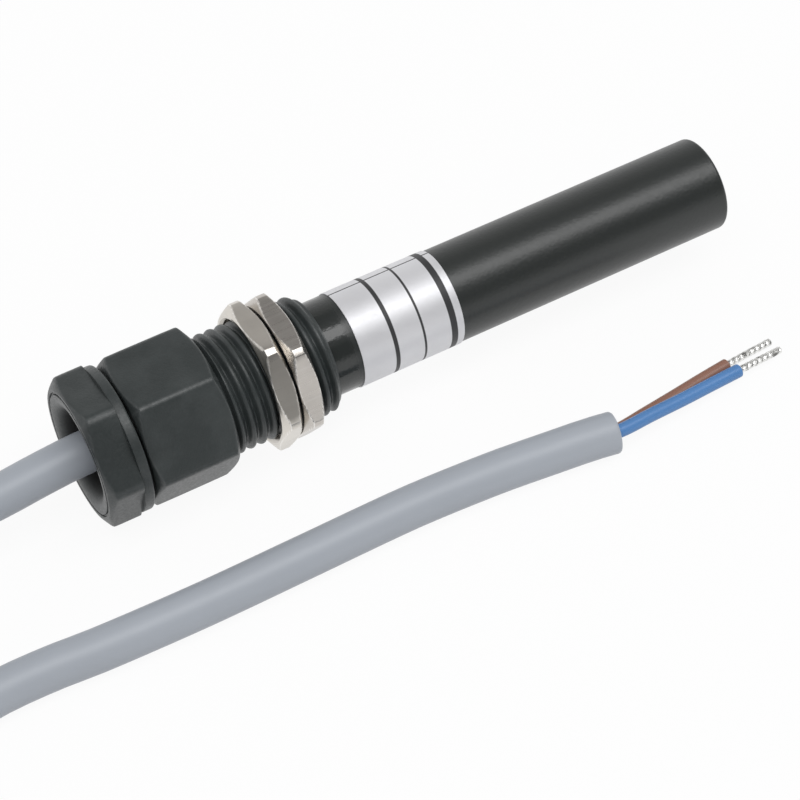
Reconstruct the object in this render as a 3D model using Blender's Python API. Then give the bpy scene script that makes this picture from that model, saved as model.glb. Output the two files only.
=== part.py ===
"""Magnetic reed sensor: a reed capsule potted in a black tube, held in a threaded cable gland.

The sensor lies on its gland with its axis along X, the gland's mouth at -X and the closed
sensing end at +X. The lead leaves the gland, is folded into a flat hank and comes back
beside the tube to its two stripped and tinned cores.
"""
import math

import bmesh
import bpy
from mathutils import Vector

MM = 0.001
FIT = 0.3                   # clearance between neighbouring pieces

# Driving dimensions in millimetres. Stations are measured along the axis from the gland's mouth.
SENSOR_LENGTH = 86.5
TUBE_D = 12.0
TUBE_WALL = 1.0
TUBE_START = 18.0
TUBE_END_WALL = 1.6
TUBE_EDGE = 0.35

SPANNER = 17.0              # across flats of both gland hexagons and both lock nuts
SCREW_CORNER = 1.6          # rounding of the hexagons' corners
BODY_CORNER = 1.0
NUT_CORNER = 0.35
CHAMFER_CIRCLE = 16.7       # diameter at which the turned 30 degree chamfers meet the end faces

SCREW_HEX_LENGTH = 4.2
COLLAR_D = 18.3             # round collar behind the pressure screw's hexagon
COLLAR_END = 5.5
SCREW_SHANK_D = 12.8
SCREW_SHANK_END = 10.5
SCREW_BORE_D = 8.6
MOUTH_D = 14.9
MOUTH_DEPTH = 4.2
GROOVE_D = 15.2
GROOVE_WIDTH = 0.25
GROOVE_DEPTH = 0.25

BODY_START = 5.95
BODY_HEX_END = 16.9
STEM_END = 31.2
GLAND_BORE_D = 13.4
SEAL_SEAT = 15.4
WEB_BORE_D = 7.6
SOCKET_START = TUBE_START - FIT
SOCKET_D = TUBE_D + 0.5

THREAD_D = 15.05            # gland thread, 18 turns to the inch
THREAD_PITCH = 1.411
THREAD_DEPTH = 0.66
THREAD_CREST_AT_ZERO = 17.2

NUT_THICKNESS = 2.65
NUT_A_START = 22.45
NUT_B_START = NUT_A_START + NUT_THICKNESS + FIT
NUT_BORE_D = 15.3

RING_START = SCREW_SHANK_END + FIT
RING_THICKNESS = 0.8
RING_D = 12.8
SEAL_START = RING_START + RING_THICKNESS + FIT
SEAL_END = SEAL_SEAT - FIT

LABEL_START = 34.8
LABEL_END = 48.5
LABEL_THICKNESS = 0.1
LABEL_LIFT = 0.03

# Turn of each hexagon: the angle of one flat from +Y towards +Z, in degrees
SCREW_TURN = 80.0
BODY_TURN = 87.8
NUT_A_TURN = 86.5
NUT_B_TURN = 95.0

# Reed capsule and its board, measured from the tube's axis
BOARD_START, BOARD_END = 31.0, 79.0
BOARD_WIDTH = 8.0
BOARD_THICKNESS = 1.0
BOARD_TOP = -1.6
REED_HEIGHT = 0.9
GLASS_START, GLASS_END = 40.0, 68.0
GLASS_D = 4.4
GLASS_WALL = 0.5
LEAD_D = 0.9
BLADE_WIDTH = 2.0
BLADE_THICKNESS = 0.4
CONTACT_STATION = 54.0
CONTACT_OVERLAP = 2.2
CONTACT_GAP = 0.3
LEAD_FOOT_NEAR, LEAD_FOOT_FAR = 36.0, 73.0
POTTING_START, POTTING_END = 20.4, 27.0
CORE_SPREAD = 1.4
INNER_CORE_START = 17.9
INNER_CORE_END = 32.6

# Lead
CABLE_D = 5.2
CORE_D = 1.7
STRAND_D = 0.9
CABLE_REST = CABLE_D / 2 + 0.02
CABLE_INNER_END = 17.6
TIE_WIDTH = 3.6
TIE_THICKNESS = 0.5
TIE_CORNER = 1.7            # inner radius where the tie bends round the hank
HANK_CENTRE = (-125.0, -11.0)
HANK_HALF_RUN = 25.5        # half of the straight part of the hank's runs
HANK_FOLD = 15.6            # centreline radius of the innermost fold
HANK_TURNS_ACROSS = 2
HANK_LAYERS = 4
HANK_LIFT = 0.1 + TIE_THICKNESS + FIT   # the tie passes under the hank

ROUND_SIDES = 48
SMALL_SIDES = 16


def hexagon(across_flats, corner, turn):
    """Outline of a hexagon with rounded corners in the YZ plane, one flat facing the turn angle."""
    points = []
    reach = across_flats / math.sqrt(3)
    centre = reach - corner / math.cos(math.radians(30))
    for k in range(6):
        middle = math.radians(turn + 30 + 60 * k)
        for step in (-30, -10, 10, 30):
            a = middle + math.radians(step)
            points.append((centre * math.cos(middle) + corner * math.cos(a),
                           centre * math.sin(middle) + corner * math.sin(a)))
    return points


# The gland rests on its collar or on the screw's lowest corner, whichever reaches further down
AXIS_HEIGHT = max(COLLAR_D / 2, -min(z for _, z in hexagon(SPANNER, SCREW_CORNER, SCREW_TURN)))


def clear_scene():
    for obj in list(bpy.data.objects):
        bpy.data.objects.remove(obj, do_unlink=True)


def material(name, colour, roughness, metallic=0.0, alpha=1.0):
    """A plain Principled material, made once for each name."""
    found = bpy.data.materials.get(name)
    if found:
        return found
    made = bpy.data.materials.new(name)
    made.use_nodes = True
    shader = made.node_tree.nodes["Principled BSDF"]
    shader.inputs["Base Color"].default_value = (*colour, 1.0)
    shader.inputs["Roughness"].default_value = roughness
    shader.inputs["Metallic"].default_value = metallic
    shader.inputs["Alpha"].default_value = alpha
    return made


def black_polyamide():
    return material("black_polyamide", (0.045, 0.048, 0.047), 0.55)


def black_tube():
    return material("black_tube", (0.035, 0.037, 0.036), 0.38)


def nickel():
    return material("nickel_plate", (0.62, 0.58, 0.52), 0.22, 1.0)


def cable_grey():
    return material("grey_pvc", (0.31, 0.34, 0.38), 0.5)


def brown_pvc():
    return material("brown_pvc", (0.24, 0.12, 0.08), 0.45)


def blue_pvc():
    return material("blue_pvc", (0.08, 0.2, 0.58), 0.45)


def tinned():
    return material("tinned_copper", (0.72, 0.71, 0.68), 0.3, 1.0)


def finish(obj, surface, parent=None, at=0.0, smooth=35):
    """Gives an object its material, its soft shading and its place along the axis."""
    obj.data.materials.clear()
    obj.data.materials.append(surface)
    if obj.type == "MESH":
        obj.data.shade_smooth()
        obj.data.set_sharp_from_angle(angle=math.radians(smooth))
    if parent:
        obj.parent = parent
        obj.location = (at * MM, 0, 0)
    return obj


def object_from(bm, name):
    """Turns a bmesh in millimetres into a linked object in metres, faces pointing out."""
    bmesh.ops.remove_doubles(bm, verts=bm.verts, dist=0.0005)
    bmesh.ops.recalc_face_normals(bm, faces=bm.faces)
    if bm.calc_volume(signed=True) < 0:
        bmesh.ops.reverse_faces(bm, faces=bm.faces)
    bmesh.ops.scale(bm, vec=(MM, MM, MM), verts=bm.verts)
    mesh = bpy.data.meshes.new(name)
    bm.to_mesh(mesh)
    bm.free()
    obj = bpy.data.objects.new(name, mesh)
    bpy.context.collection.objects.link(obj)
    return obj


def turned(name, profile, sides=ROUND_SIDES, axis="X", centre=(0, 0, 0), closed=True):
    """Spins a profile of (station, radius) points round an axis, as on a lathe."""
    bm = bmesh.new()
    if axis == "X":
        verts = [bm.verts.new((s, r, 0)) for s, r in profile]
        direction = (1, 0, 0)
    else:
        verts = [bm.verts.new((r, 0, s)) for s, r in profile]
        direction = (0, 0, 1)
    pairs = list(zip(verts, verts[1:]))
    if closed:
        pairs.append((verts[-1], verts[0]))
    edges = [bm.edges.new(pair) for pair in pairs]
    bmesh.ops.spin(bm, geom=verts + edges, cent=(0, 0, 0), axis=direction,
                   angle=math.tau, steps=sides, use_merge=True)
    bmesh.ops.translate(bm, vec=centre, verts=bm.verts)
    return object_from(bm, name)


def prism(name, outline, start, end):
    """Extrudes a YZ outline along the axis."""
    bm = bmesh.new()
    face = bm.faces.new([bm.verts.new((start, y, z)) for y, z in outline])
    grown = bmesh.ops.extrude_face_region(bm, geom=[face])
    moved = [g for g in grown["geom"] if isinstance(g, bmesh.types.BMVert)]
    bmesh.ops.translate(bm, vec=(end - start, 0, 0), verts=moved)
    return object_from(bm, name)


def combine(obj, tool, operation):
    """Adds a Boolean with a hidden tool that shares the object's place."""
    tool.hide_render = True
    tool.display_type = "WIRE"
    tool.parent = obj.parent
    tool.location = obj.location
    step = obj.modifiers.new(tool.name, "BOOLEAN")
    step.operation = operation
    step.object = tool


def chamfer_tool(name, start, end, front=True, back=True):
    """The turned envelope that gives a hexagon its 30 degree end chamfers."""
    reach = SPANNER / math.sqrt(3) + 0.1
    face = CHAMFER_CIRCLE / 2
    fall = (reach - face) * math.tan(math.radians(30))
    past = 0.5
    tip = face - past / math.tan(math.radians(30))
    profile = [(start - past, 0)]
    profile += [(start - past, tip), (start + fall, reach)] if front else [(start - past, reach)]
    profile += [(end - fall, reach), (end + past, tip)] if back else [(end + past, reach)]
    profile.append((end + past, 0))
    return turned(name, profile, sides=72, closed=False)


def thread_height(phase):
    """Rounded thread form over one pitch: 1 on the crest, 0 in the root."""
    lift = 0.5 + 0.5 * math.cos(math.tau * phase)
    return lift * lift * (3 - 2 * lift)


def threaded_stem(name, start, end):
    """A stem whose skin follows a right-hand helical thread, with run-outs at both ends."""
    rings_per_pitch = 6
    sides = 36
    bm = bmesh.new()
    rings = []
    count = int((end - start) / THREAD_PITCH * rings_per_pitch)
    for j in range(count + 1):
        x = start + (end - start) * j / count
        fade = min(1.0, (end - x) / (0.5 * THREAD_PITCH), (x - start) / (0.5 * THREAD_PITCH))
        ring = []
        for i in range(sides):
            a = math.tau * i / sides
            phase = (x - THREAD_CREST_AT_ZERO) / THREAD_PITCH - i / sides
            r = THREAD_D / 2 - THREAD_DEPTH * (1 - max(0.0, fade) * thread_height(phase))
            ring.append(bm.verts.new((x, r * math.cos(a), r * math.sin(a))))
        rings.append(ring)
    for low, high in zip(rings, rings[1:]):
        for i in range(sides):
            n = (i + 1) % sides
            bm.faces.new((low[i], low[n], high[n], high[i]))
    bm.faces.new(rings[0])
    bm.faces.new(rings[-1])
    return object_from(bm, name)


def pressure_screw(axis):
    """Moulded hexagon with a flared mouth; its shank presses the seal round the cable."""
    obj = prism("gland_pressure_screw", hexagon(SPANNER, SCREW_CORNER, SCREW_TURN), 0, SCREW_HEX_LENGTH)
    finish(obj, black_polyamide(), axis)
    combine(obj, chamfer_tool("screw_chamfer", 0, SCREW_HEX_LENGTH, back=False), "INTERSECT")
    shank_end = SCREW_SHANK_END
    r, collar = SCREW_SHANK_D / 2, COLLAR_D / 2
    back = [(2, 0), (2, r), (SCREW_HEX_LENGTH - 0.1, r), (SCREW_HEX_LENGTH - 0.1, collar - 0.1),
            (SCREW_HEX_LENGTH, collar), (COLLAR_END - 0.25, collar), (COLLAR_END, collar - 0.25),
            (COLLAR_END, r), (shank_end - 0.5, r), (shank_end, r - 0.5), (shank_end, 0)]
    combine(obj, turned("screw_back", back, closed=False), "UNION")
    bore = [(-1, 0), (-1, MOUTH_D / 2)]
    flare = MOUTH_D / 2 - SCREW_BORE_D / 2
    for k in range(9):
        a = math.radians(90 * k / 8)
        bore.append((MOUTH_DEPTH * math.sin(a), SCREW_BORE_D / 2 + flare * (1 - math.sin(a)) ** 1.6))
    bore += [(shank_end + 1, SCREW_BORE_D / 2), (shank_end + 1, 0)]
    combine(obj, turned("screw_mouth", bore, closed=False), "DIFFERENCE")
    inner = GROOVE_D / 2
    outer = inner + GROOVE_WIDTH
    groove = [(-1, inner), (GROOVE_DEPTH, inner), (GROOVE_DEPTH, outer), (-1, outer)]
    combine(obj, turned("screw_groove", groove), "DIFFERENCE")
    return obj


def gland_body(axis):
    """Moulded hexagon with a threaded stem; it holds the seal in front and the tube behind."""
    obj = prism("gland_body", hexagon(SPANNER, BODY_CORNER, BODY_TURN), BODY_START, BODY_HEX_END)
    finish(obj, black_polyamide(), axis)
    combine(obj, chamfer_tool("body_chamfer", BODY_START, BODY_HEX_END), "INTERSECT")
    combine(obj, threaded_stem("body_stem", BODY_HEX_END - 0.6, STEM_END), "UNION")
    wide, narrow, socket = GLAND_BORE_D / 2, WEB_BORE_D / 2, SOCKET_D / 2
    bore = [(BODY_START - 1, 0), (BODY_START - 1, wide), (SEAL_SEAT, wide), (SEAL_SEAT, narrow),
            (SOCKET_START, narrow), (SOCKET_START, socket), (STEM_END + 1, socket), (STEM_END + 1, 0)]
    combine(obj, turned("body_bore", bore, closed=False), "DIFFERENCE")
    return obj


def lock_nut(axis, name, start, turn):
    """Nickel-plated hexagon nut with turned chamfers on both faces."""
    corners = hexagon(SPANNER, NUT_CORNER, turn)
    outline = []
    for here, ahead in zip(corners, corners[1:] + corners[:1]):
        parts = max(1, round(math.dist(here, ahead) / 1.1))
        for k in range(parts):
            outline.append([a + (b - a) * k / parts for a, b in zip(here, ahead)])
    r, lip, face = NUT_BORE_D / 2, 0.25, CHAMFER_CIRCLE / 2
    bm = bmesh.new()
    rings = []
    for y, z in outline:
        reach = math.hypot(y, z)
        fall = (reach - face) * math.tan(math.radians(30))
        front = [(lip, r), (0, r + lip), (0, face), (fall, reach)]
        profile = front + [(NUT_THICKNESS - s, q) for s, q in reversed(front)]
        rings.append([bm.verts.new((s, y * q / reach, z * q / reach)) for s, q in profile])
    for ring, ahead in zip(rings, rings[1:] + rings[:1]):
        for k in range(len(ring)):
            bm.faces.new((ring[k], ring[k - 1], ahead[k - 1], ahead[k]))
    return finish(object_from(bm, name), nickel(), axis, start)


def thrust_ring(axis):
    """Hard washer that keeps the turning screw from dragging the rubber round."""
    inner, outer = SCREW_BORE_D / 2, RING_D / 2
    profile = [(0, inner), (0, outer), (RING_THICKNESS, outer), (RING_THICKNESS, inner)]
    return finish(turned("thrust_ring", profile), material("ring_polyamide", (0.55, 0.54, 0.5), 0.5),
                  axis, RING_START)


def seal_ring(axis):
    """Rubber ring squeezed onto the cable jacket."""
    inner, outer = CABLE_D / 2 + FIT, RING_D / 2
    length = SEAL_END - SEAL_START
    profile = [(0, inner + 0.5), (0, outer), (length, outer), (length, inner + 0.5),
               (length - 0.5, inner), (0.5, inner)]
    return finish(turned("seal_ring", profile), material("seal_rubber", (0.03, 0.03, 0.03), 0.8),
                  axis, SEAL_START)


def sensor_tube(axis):
    """Thin-walled tube, closed at the sensing end, glued into the gland's stem."""
    outer, inner = TUBE_D / 2, TUBE_D / 2 - TUBE_WALL
    floor = SENSOR_LENGTH - TUBE_END_WALL
    profile = [(floor, 0), (floor, inner), (TUBE_START, inner), (TUBE_START, outer),
               (SENSOR_LENGTH - TUBE_EDGE, outer), (SENSOR_LENGTH, outer - TUBE_EDGE), (SENSOR_LENGTH, 0)]
    return finish(turned("sensor_tube", profile, closed=False), black_tube(), axis)


def rating_label(axis):
    """Silver foil wrapped once round the tube."""
    inner = TUBE_D / 2 + LABEL_LIFT
    outer = inner + LABEL_THICKNESS
    length = LABEL_END - LABEL_START
    profile = [(0, inner), (0, outer), (length, outer), (length, inner)]
    return finish(turned("rating_label", profile), material("silver_foil", (0.6, 0.6, 0.62), 0.35, 0.6),
                  axis, LABEL_START)


def loft(name, sections, sides=SMALL_SIDES):
    """Joins elliptical sections (centre, half width, half height, run direction) into one closed body."""
    bm = bmesh.new()
    rings = []
    for centre, half_y, half_up, run in sections:
        forward = Vector(run).normalized()
        across = Vector((0, 1, 0))
        up = forward.cross(across).normalized()
        ring = []
        for i in range(sides):
            a = math.tau * (i + 0.5) / sides
            place = Vector(centre) + across * half_y * math.cos(a) + up * half_up * math.sin(a)
            ring.append(bm.verts.new(place))
        rings.append(ring)
    for low, high in zip(rings, rings[1:]):
        for i in range(sides):
            n = (i + 1) % sides
            bm.faces.new((low[i], low[n], high[n], high[i]))
    bm.faces.new(rings[0])
    bm.faces.new(rings[-1])
    return object_from(bm, name)


def reed_blade(axis, name, foot, tip, offset):
    """Iron-nickel wire, bent down to its solder pad and pressed flat inside the glass."""
    way = 1 if tip > foot else -1
    height = REED_HEIGHT
    r = LEAD_D / 2
    bend = 1.6
    low = BOARD_TOP + FIT
    sections = [((foot, 0, low), r, r, (0, 0, 1)), ((foot, 0, height - bend), r, r, (0, 0, 1))]
    for k in (1, 2, 3):
        a = math.radians(30 * k)
        sections.append(((foot + way * bend * (1 - math.cos(a)), 0, height - bend + bend * math.sin(a)),
                         r, r, (way * math.sin(a), 0, math.cos(a))))
    neck = GLASS_START + 3.2 if way > 0 else GLASS_END - 3.2
    flat = neck + way * 2.0
    sections.append(((neck, 0, height), r, r, (way, 0, 0)))
    for station_x in (flat, tip):
        sections.append(((station_x, 0, height + offset), BLADE_WIDTH / 2, BLADE_THICKNESS / 2, (way, 0, 0)))
    return finish(loft(name, sections), material("reed_metal", (0.55, 0.52, 0.48), 0.3, 1.0), axis)


def reed_glass(axis):
    """Glass capsule drawn in round both leads."""
    outer, inner = GLASS_D / 2, GLASS_D / 2 - GLASS_WALL
    hole = LEAD_D / 2 + FIT
    length = GLASS_END - GLASS_START
    half = [(0, hole), (0, 1.3), (0.5, 1.75), (1.4, 2.05), (2.6, outer)]
    inside = [(3.6, inner), (2.8, inner - 0.35), (2.2, hole)]
    profile = half + [(length - s, r) for s, r in reversed(half)]
    profile += [(length - s, r) for s, r in reversed(inside)] + inside
    obj = turned("reed_glass", profile, sides=24, centre=(0, 0, REED_HEIGHT))
    return finish(obj, material("reed_glass", (0.75, 0.85, 0.8), 0.05, 0.0, 0.35), axis, GLASS_START)


def carrier_board(axis):
    """Narrow laminate strip that carries the capsule inside the tube."""
    half = BOARD_WIDTH / 2
    low = BOARD_TOP - BOARD_THICKNESS
    outline = [(-half, low), (half, low), (half, BOARD_TOP), (-half, BOARD_TOP)]
    obj = prism("carrier_board", outline, BOARD_START, BOARD_END)
    return finish(obj, material("laminate", (0.06, 0.2, 0.1), 0.5), axis)


def solder_joint(axis, name, station, y):
    """Dome of solder on the board, kept just clear of the wire that it holds."""
    ring = LEAD_D / 2 + FIT
    profile = [(0, ring), (0, 1.25), (0.25, 1.2), (0.6, ring + 0.15)]
    obj = turned(name, profile, sides=SMALL_SIDES, axis="Z", centre=(0, y, BOARD_TOP + 0.1))
    return finish(obj, tinned(), axis, station)


def potting_plug(axis):
    """Resin that closes the tube's mouth round the two cores."""
    r = TUBE_D / 2 - TUBE_WALL - FIT
    length = POTTING_END - POTTING_START
    profile = [(0, 0), (0, r), (length, r), (length, 0)]
    obj = turned("potting_plug", profile, sides=32, closed=False)
    finish(obj, material("potting_resin", (0.05, 0.05, 0.055), 0.35), axis, POTTING_START)
    for side in (-1, 1):
        hole = turned("potting_hole_%s" % ("front" if side < 0 else "back"),
                      [(-1, 0), (-1, CORE_D / 2 + FIT), (length + 1, CORE_D / 2 + FIT), (length + 1, 0)],
                      sides=SMALL_SIDES, centre=(0, side * CORE_SPREAD, 0), closed=False)
        combine(obj, hole, "DIFFERENCE")
    return obj


def smooth_route(points, spacing):
    """Even points on a smooth curve through a route's own points."""
    points = [Vector(p) for p in points]
    padded = [2 * points[0] - points[1]] + points + [2 * points[-1] - points[-2]]
    fine = []
    for a, b, c, d in zip(padded, padded[1:], padded[2:], padded[3:]):
        for k in range(24):
            t = k / 24
            fine.append(0.5 * (2 * b + (c - a) * t + (2 * a - 5 * b + 4 * c - d) * t * t
                               + (3 * b - a - 3 * c + d) * t ** 3))
    fine.append(points[-1])
    total = sum((q - p).length for p, q in zip(fine, fine[1:]))
    steps = max(2, round(total / spacing))
    even, walked, k = [fine[0]], 0.0, 1
    for p, q in zip(fine, fine[1:]):
        stretch = (q - p).length
        while k < steps and walked + stretch >= total * k / steps:
            even.append(p.lerp(q, (total * k / steps - walked) / stretch))
            k += 1
        walked += stretch
    even.append(fine[-1])
    return even


def tube_along(name, points, diameter, surface, resolution=3):
    """A round cord laid along points given in millimetres."""
    curve = bpy.data.curves.new(name, "CURVE")
    curve.dimensions = "3D"
    curve.bevel_depth = diameter / 2 * MM
    curve.bevel_resolution = resolution
    curve.use_fill_caps = True
    spline = curve.splines.new("POLY")
    spline.points.add(len(points) - 1)
    for knot, p in zip(spline.points, points):
        knot.co = (*(Vector(p) * MM), 1)
    obj = bpy.data.objects.new(name, curve)
    bpy.context.collection.objects.link(obj)
    return finish(obj, surface)


def station(s):
    """World x of a station along the axis."""
    return s - SENSOR_LENGTH / 2


LEAD_ROUTE = [
    (station(CABLE_INNER_END), 0, AXIS_HEIGHT),
    (station(8), 0, AXIS_HEIGHT),
    (station(0), 0, AXIS_HEIGHT),
    (-48.5, -0.15, 8.85),
    (-53.5, -0.5, 8.6),
    (-57.5, -0.55, 8.5),
    (-62.5, -0.2, 8.8),
    (-68.0, 0.9, 9.8),
    (-73.8, 2.8, 11.6),
    (-79.0, 5.1, 13.1),
]

TAIL_ROUTE = [
    (-78.0, -25.5, 3.3),
    (-73.5, -23.6, 2.95),
    (-68.8, -22.1, 2.7),
    (-63.5, -21.4, CABLE_REST),
    (-57.2, -21.45, CABLE_REST),
    (-50.9, -21.9, CABLE_REST),
    (-38.7, -22.2, CABLE_REST),
    (-26.2, -22.1, CABLE_REST),
    (-13.9, -21.95, CABLE_REST),
    (-7.6, -22.1, CABLE_REST),
    (0.3, -22.6, CABLE_REST),
    (6.7, -23.3, CABLE_REST),
    (11.9, -23.9, CABLE_REST),
    (15.3, -24.5, CABLE_REST),
]

BLUE_ROUTE = [(15.9, -25.0, 3.17), (20.4, -24.5, 2.75), (25.05, -24.03, 2.25), (29.5, -23.5, 1.8),
              (33.9, -23.1, 1.5)]
BROWN_ROUTE = [(15.9, -23.7, 1.6), (20.9, -22.95, 1.3), (25.05, -22.33, 1.1), (29.25, -21.7, 0.95),
               (33.45, -21.2, 0.9)]
BLUE_STRAND = [(34.25, -23.07, 1.48), (37.3, -22.8, 1.25), (40.35, -22.5, 1.0)]
BROWN_STRAND = [(33.8, -21.15, 0.88), (37.0, -20.8, 0.75), (40.25, -20.5, 0.6)]


def free_lead():
    """The lead's loose stretches beside the hank, and its stripped end."""
    tube_along("cable_lead_out", smooth_route(LEAD_ROUTE, 2 * CABLE_D), CABLE_D, cable_grey())
    tube_along("cable_tail", smooth_route(TAIL_ROUTE, 2 * CABLE_D), CABLE_D, cable_grey())
    tube_along("core_blue", smooth_route(BLUE_ROUTE, 2.4 * CORE_D), CORE_D, blue_pvc(), 2)
    tube_along("core_brown", smooth_route(BROWN_ROUTE, 2.4 * CORE_D), CORE_D, brown_pvc(), 2)
    tube_along("tinned_end_blue", smooth_route(BLUE_STRAND, 2.4 * STRAND_D), STRAND_D, tinned(), 2)
    tube_along("tinned_end_brown", smooth_route(BROWN_STRAND, 2.4 * STRAND_D), STRAND_D, tinned(), 2)


def hank():
    """Outer shape of the stored length: turns folded into a flat loop with straight runs along X."""
    r = CABLE_D / 2
    inner = HANK_FOLD
    outer = HANK_FOLD + (HANK_TURNS_ACROSS - 1) * CABLE_D
    low = HANK_LIFT + r
    top = low + (HANK_LAYERS - 1) * CABLE_D
    corners = [(outer, low, -90, 0), (outer, top, 0, 90), (inner, top, 90, 180), (inner, low, 180, 270)]
    profile = []
    for radius, height, first, last in corners:
        for k in range(4):
            a = math.radians(first + (last - first) * k / 3)
            profile.append((height + r * math.sin(a), radius + r * math.cos(a)))
    # With 46 sides no vertex lies on the middle, so moving each half outward draws the straight runs.
    obj = turned("cable_coil", profile, sides=46, axis="Z")
    for v in obj.data.vertices:
        v.co.x += math.copysign(HANK_HALF_RUN * MM, v.co.x) + HANK_CENTRE[0] * MM
        v.co.y += HANK_CENTRE[1] * MM
    return finish(obj, cable_grey())


def cable_tie():
    """Flat nylon tie passed round the middle of the hank."""
    x, y = HANK_CENTRE
    half_width = HANK_FOLD + (HANK_TURNS_ACROSS - 0.5) * CABLE_D
    half_height = HANK_LAYERS * CABLE_D / 2
    middle = HANK_LIFT + half_height

    def loop(gap, corner):
        outline = []
        for quarter, (side, level) in enumerate([(1, 1), (-1, 1), (-1, -1), (1, -1)]):
            for k in range(5):
                a = math.radians(90 * quarter + 22.5 * k)
                outline.append((y + side * (half_width + gap - corner) + corner * math.cos(a),
                                middle + level * (half_height + gap - corner) + corner * math.sin(a)))
        return outline

    start, end = x - TIE_WIDTH / 2, x + TIE_WIDTH / 2
    tie = prism("cable_tie", loop(FIT + TIE_THICKNESS, TIE_CORNER + TIE_THICKNESS), start, end)
    opening = prism("cable_tie_opening", loop(FIT, TIE_CORNER), start - 1, end + 1)
    combine(tie, opening, "DIFFERENCE")
    return finish(tie, black_polyamide())


def inner_cores(axis):
    """The lead's two cores, bared inside the gland and led through the resin to the board."""
    for name, side, surface in (("inner_core_brown", 1, brown_pvc()), ("inner_core_blue", -1, blue_pvc())):
        y = side * CORE_SPREAD
        route = [(INNER_CORE_START, y, 0), (22, y, 0), (26, y, 0), (28.5, side * 1.5, -0.15),
                 (INNER_CORE_END, side * 2.2, -0.35)]
        points = [(p.x, p.y, p.z) for p in smooth_route(route, 2.2 * CORE_D)]
        obj = tube_along(name, points, CORE_D, surface, 2)
        obj.parent = axis


def build():
    clear_scene()
    axis = bpy.data.objects.new("sensor_axis", None)
    bpy.context.collection.objects.link(axis)
    axis.location = (station(0) * MM, 0, AXIS_HEIGHT * MM)

    pressure_screw(axis)
    thrust_ring(axis)
    seal_ring(axis)
    gland_body(axis)
    lock_nut(axis, "lock_nut_gland_side", NUT_A_START, NUT_A_TURN)
    lock_nut(axis, "lock_nut_tube_side", NUT_B_START, NUT_B_TURN)
    sensor_tube(axis)
    rating_label(axis)

    carrier_board(axis)
    reed_glass(axis)
    lap = CONTACT_OVERLAP / 2
    shift = (CONTACT_GAP + BLADE_THICKNESS) / 2
    reed_blade(axis, "reed_blade_near", LEAD_FOOT_NEAR, CONTACT_STATION + lap, shift)
    reed_blade(axis, "reed_blade_far", LEAD_FOOT_FAR, CONTACT_STATION - lap, -shift)
    solder_joint(axis, "solder_reed_near", LEAD_FOOT_NEAR, 0)
    solder_joint(axis, "solder_reed_far", LEAD_FOOT_FAR, 0)
    potting_plug(axis)
    inner_cores(axis)

    free_lead()
    hank()
    cable_tie()
    bpy.context.view_layer.update()


build()
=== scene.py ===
"""Dressed model of a magnetic reed sensor: black tube in a threaded cable gland, with its lead beside it."""
import math

import bmesh
import bpy
from mathutils import Matrix, Vector


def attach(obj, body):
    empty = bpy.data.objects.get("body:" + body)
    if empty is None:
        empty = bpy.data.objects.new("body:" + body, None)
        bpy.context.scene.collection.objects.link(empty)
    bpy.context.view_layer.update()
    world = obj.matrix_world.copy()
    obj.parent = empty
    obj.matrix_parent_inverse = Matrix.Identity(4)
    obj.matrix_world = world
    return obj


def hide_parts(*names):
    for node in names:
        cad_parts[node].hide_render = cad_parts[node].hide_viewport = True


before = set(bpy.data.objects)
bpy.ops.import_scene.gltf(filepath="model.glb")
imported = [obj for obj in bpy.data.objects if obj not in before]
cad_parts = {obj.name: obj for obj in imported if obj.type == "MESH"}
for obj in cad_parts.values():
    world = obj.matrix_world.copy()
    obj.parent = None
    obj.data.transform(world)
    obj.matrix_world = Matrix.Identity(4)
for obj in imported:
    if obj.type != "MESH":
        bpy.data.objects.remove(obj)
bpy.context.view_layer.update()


# Camera. It stands at the gland's end of the table and looks down along the sensor with a long lens,
# so that the tube and the nuts keep nearly even proportions from end to end.
MM = 0.001
lens_data = bpy.data.cameras.new("camera")
lens_data.lens = 125.0
lens_data.sensor_width = 36.0
camera = bpy.data.objects.new("camera", lens_data)
bpy.context.collection.objects.link(camera)
camera_back = Vector((-0.2964, -0.5816, 0.7576)).normalized()
camera_right = Vector((0.8720, -0.4883, -0.0337)).normalized()
camera_up = camera_back.cross(camera_right).normalized()
camera_right = camera_up.cross(camera_back)
camera.matrix_world = Matrix.Translation((-0.10397, -0.20228, 0.25717)) @ Matrix(
    (camera_right, camera_up, camera_back)).transposed().to_4x4()
bpy.context.scene.camera = camera


# Lead. Two-core round cable with a soft grey PVC jacket, straight out of the gland.
# Its spare length is folded into a flat hank of four layers; the stripped end lies beside the sensor.
AXIS_HEIGHT = 9.15
HALF_LENGTH = 43.25
CABLE_D = 5.2
CABLE_REST = 2.62
HANK_CENTRE = (-125.0, -11.0)
HANK_HALF_RUN = 25.5
HANK_INNER, HANK_OUTER = 15.6, 20.8
HANK_LIFT = 0.9             # gap under the lowest layer, where the tie passes
HANK_LEGS, LEG_STEPS = 23, 12
LEAD_ROUTE = [
    (-25.65, 0, AXIS_HEIGHT),
    (-35.25, 0, AXIS_HEIGHT),
    (-43.25, 0, AXIS_HEIGHT),
    (-48.5, -0.15, 8.85),
    (-53.5, -0.5, 8.6),
    (-57.5, -0.55, 8.5),
    (-62.5, -0.2, 8.8),
    (-68.0, 0.9, 9.8),
    (-73.8, 2.8, 11.6),
    (-79.0, 5.1, 13.1),
    (-86.3, 7.7, 13.85),
    (-93.3, 9.3, 13.9),
]
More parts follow.
